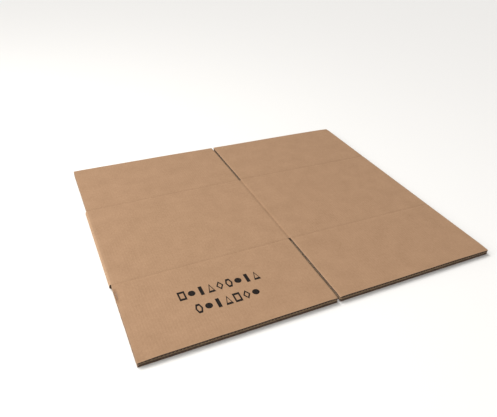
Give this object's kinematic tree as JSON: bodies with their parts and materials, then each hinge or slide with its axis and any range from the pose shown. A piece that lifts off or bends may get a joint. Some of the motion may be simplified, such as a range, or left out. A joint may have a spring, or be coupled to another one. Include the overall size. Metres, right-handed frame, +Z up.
{
  "type": "flattened cardboard box",
  "caption": "Square corrugated shipping box folded flat: a glued sleeve of thick brown board with slotted flaps, squared up, filled and closed when used.",
  "frame": {"origin": "on the floor plane under the middle of the box, centre of its length and width", "axes": "+X from fold to fold, +Y along the flutes from one row of flap ends to the other, +Z up through the thickness"},
  "size_m": [0.924, 0.78, 0.0171],
  "materials": {
    "kraft_board": "matt brown kraft paper liners on corrugated fluting"
  },
  "bodies": {
    "root": {"flattened_box": "kraft_board"}
  },
  "joints": []
}
